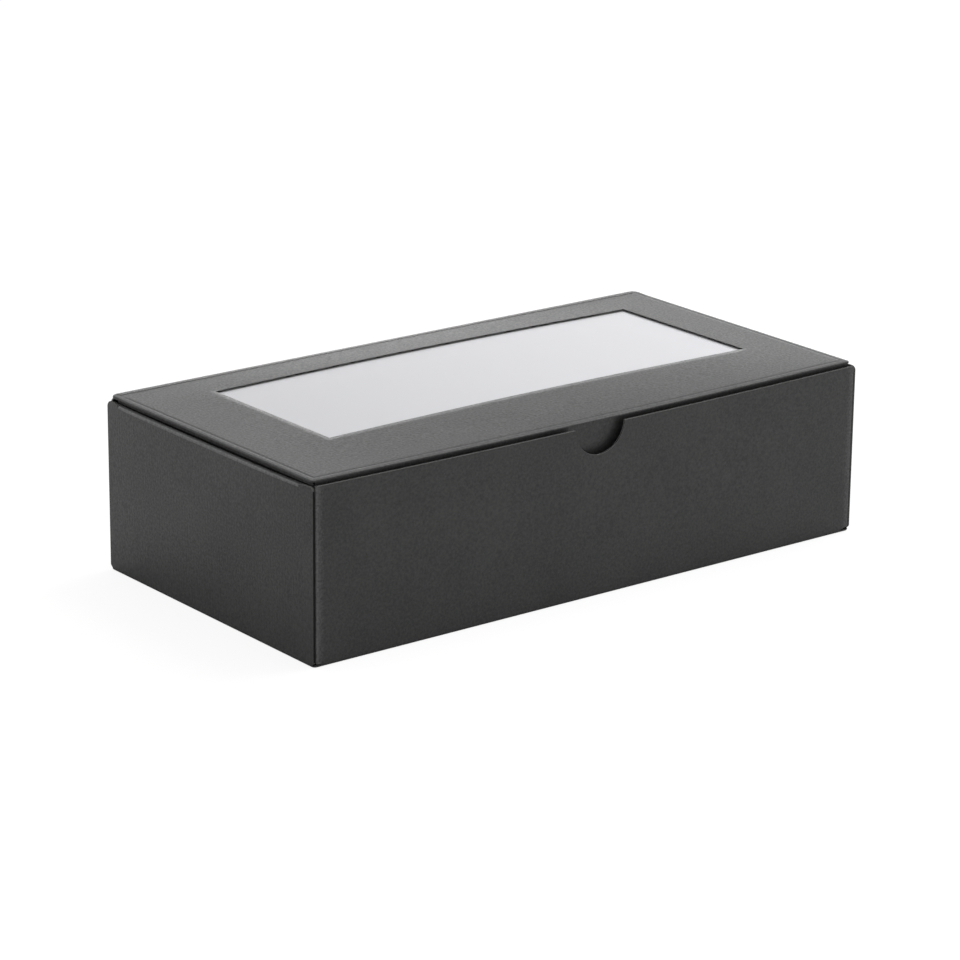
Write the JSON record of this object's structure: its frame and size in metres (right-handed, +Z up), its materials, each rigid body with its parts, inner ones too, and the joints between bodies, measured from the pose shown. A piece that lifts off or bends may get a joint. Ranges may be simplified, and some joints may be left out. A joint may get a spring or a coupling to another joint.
{
  "type": "window display carton",
  "caption": "Black micro-flute board display box: hinged window lid over white fibre, thumb notch, tuck-in front and side flaps, rolled double side walls",
  "frame": {"origin": "middle of the base's underside, on the table", "axes": "+X along the length, to the right seen from the thumb-notch front; -Y is the front; +Z up"},
  "size_m": [0.36, 0.185, 0.096],
  "materials": {
    "black_board": "matt black paper",
    "clear_film": "clear glossy film",
    "clear_glue": "dried clear glue",
    "white_fibre": "soft white polyester fibre"
  },
  "bodies": {
    "tray": {"bottom_panel": "black_board", "front_wall": "black_board", "back_wall": "black_board", "left_outer_wall": "black_board", "left_wall_ridge": "black_board", "left_inner_wall": "black_board", "front_left_corner_flap": "black_board", "back_left_corner_flap": "black_board", "right_outer_wall": "black_board", "right_wall_ridge": "black_board", "right_inner_wall": "black_board", "front_right_corner_flap": "black_board", "back_right_corner_flap": "black_board", "fibre_bottom_layer": "white_fibre", "fibre_middle_layer": "white_fibre", "fibre_top_layer": "white_fibre"},
    "lid": {"lid_panel": "black_board", "film_glue_line": "clear_glue", "window_film": "clear_film"},
    "tuck_flap": {"lid_tuck_flap": "black_board"},
    "left_dust_flap": {"lid_left_dust_flap": "black_board"},
    "right_dust_flap": {"lid_right_dust_flap": "black_board"}
  },
  "joints": [
    {"name": "lid_hinge", "type": "hinge", "parent": "tray", "child": "lid", "pos_m": [0, 0.0925, 0.09465], "axis": [-1, 0, 0], "range_deg": [0, 180]},
    {"name": "tuck_fold", "type": "hinge", "parent": "lid", "child": "tuck_flap", "pos_m": [0, -0.0883, 0.0945], "axis": [1, 0, 0], "range_deg": [0, 85]},
    {"name": "left_dust_fold", "type": "hinge", "parent": "lid", "child": "left_dust_flap", "pos_m": [-0.1748, 0, 0.0945], "axis": [0, -1, 0], "range_deg": [0, 85]},
    {"name": "right_dust_fold", "type": "hinge", "parent": "lid", "child": "right_dust_flap", "pos_m": [0.1748, 0, 0.0945], "axis": [0, 1, 0], "range_deg": [0, 85]}
  ]
}
